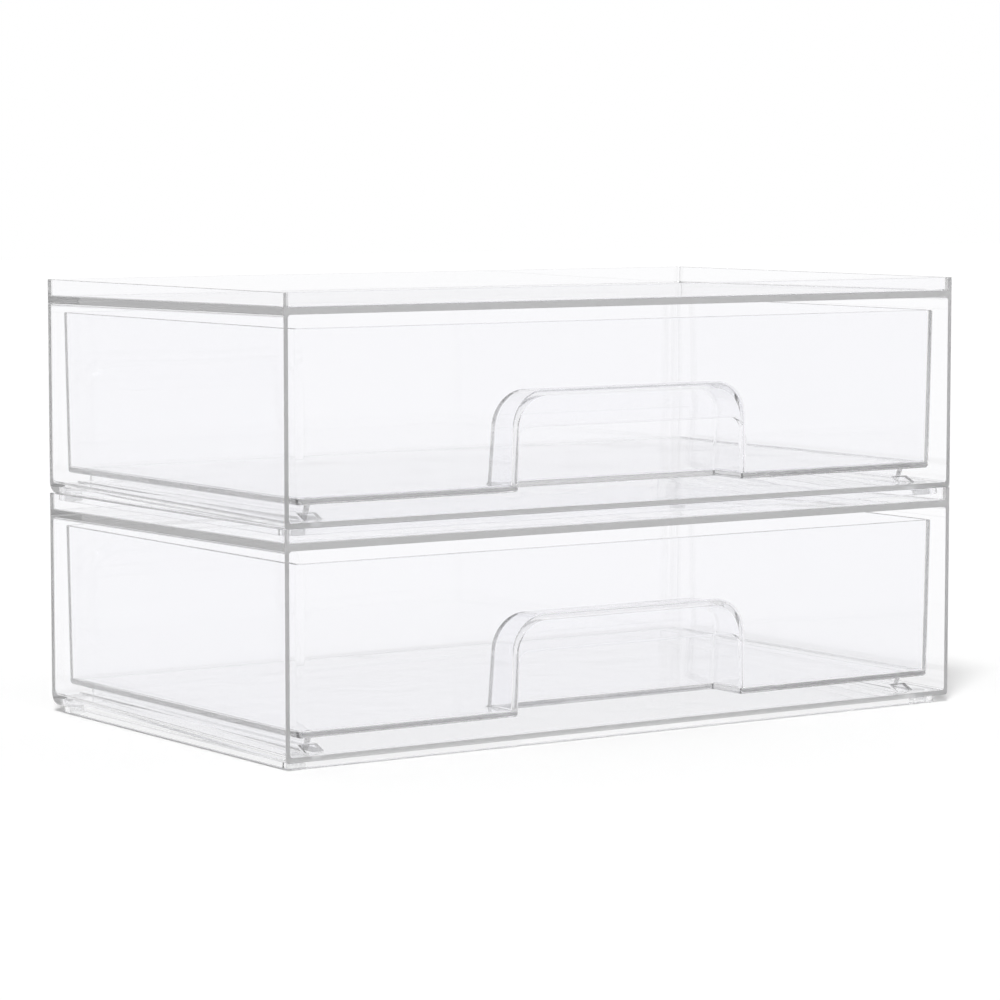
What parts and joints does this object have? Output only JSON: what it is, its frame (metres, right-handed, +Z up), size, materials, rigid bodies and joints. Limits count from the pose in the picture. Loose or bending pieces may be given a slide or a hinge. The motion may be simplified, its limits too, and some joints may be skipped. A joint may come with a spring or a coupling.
{
  "type": "stackable storage drawer",
  "caption": "Clear stacked storage drawers: box casings open at the front, each with a sliding tray that has an arched finger pocket, nesting by a plinth inside a rim",
  "frame": {"origin": "middle of the footprint, on the surface that the lower foot pads stand on", "axes": "+Z up, +X along the width, -Y out of the open front, where the drawers slide"},
  "size_m": [0.305, 0.177, 0.1678],
  "materials": {
    "clear_polystyrene": "clear, glossy, colourless with slightly grey edges",
    "clear_silicone": "soft, clear to slightly milky, satin"
  },
  "bodies": {
    "lower_casing": {"lower_casing": "clear_polystyrene", "lower_foot_front_left": "clear_silicone", "lower_foot_front_right": "clear_silicone", "lower_foot_back_left": "clear_silicone", "lower_foot_back_right": "clear_silicone"},
    "lower_drawer": {"lower_drawer": "clear_polystyrene"},
    "upper_casing": {"upper_casing": "clear_polystyrene", "upper_foot_front_left": "clear_silicone", "upper_foot_front_right": "clear_silicone", "upper_foot_back_left": "clear_silicone", "upper_foot_back_right": "clear_silicone"},
    "upper_drawer": {"upper_drawer": "clear_polystyrene"}
  },
  "joints": [
    {"name": "lower_drawer_slide", "type": "slide", "parent": "lower_casing", "child": "lower_drawer", "axis": [0, -1, 0], "range_m": [0, 0.12]},
    {"name": "upper_casing_lift", "type": "slide", "parent": "lower_casing", "child": "upper_casing", "axis": [0, 0, 1], "range_m": [0, 0.05]},
    {"name": "upper_drawer_slide", "type": "slide", "parent": "upper_casing", "child": "upper_drawer", "axis": [0, -1, 0], "range_m": [0, 0.12]}
  ]
}
